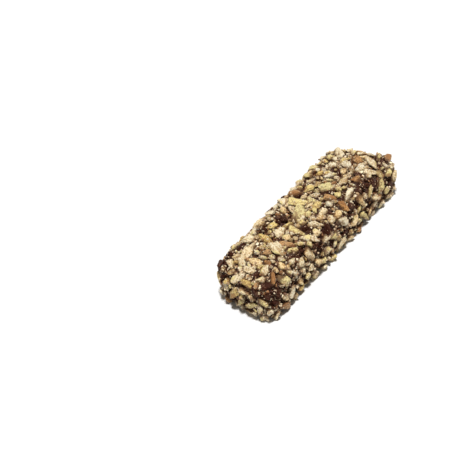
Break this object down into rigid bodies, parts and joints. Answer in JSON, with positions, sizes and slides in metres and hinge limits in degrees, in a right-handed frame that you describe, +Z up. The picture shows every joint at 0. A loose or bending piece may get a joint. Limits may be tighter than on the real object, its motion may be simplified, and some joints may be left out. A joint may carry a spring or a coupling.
{
  "type": "english toffee stick",
  "caption": "Chocolate-coated stick of hard toffee rolled all round in chopped nuts, with slanted ends, lying on a flat underside.",
  "frame": {"origin": "under the middle of the stick, on the surface that it rests on", "axes": "+X along the stick towards its far end, +Y to its back, away from the longest side, and +Z up"},
  "size_m": [0.0781, 0.0258, 0.0161],
  "materials": {
    "chopped_nuts": "matte",
    "chocolate": "satin"
  },
  "bodies": {
    "root": {"toffee_bar": "chopped_nuts"}
  },
  "joints": []
}
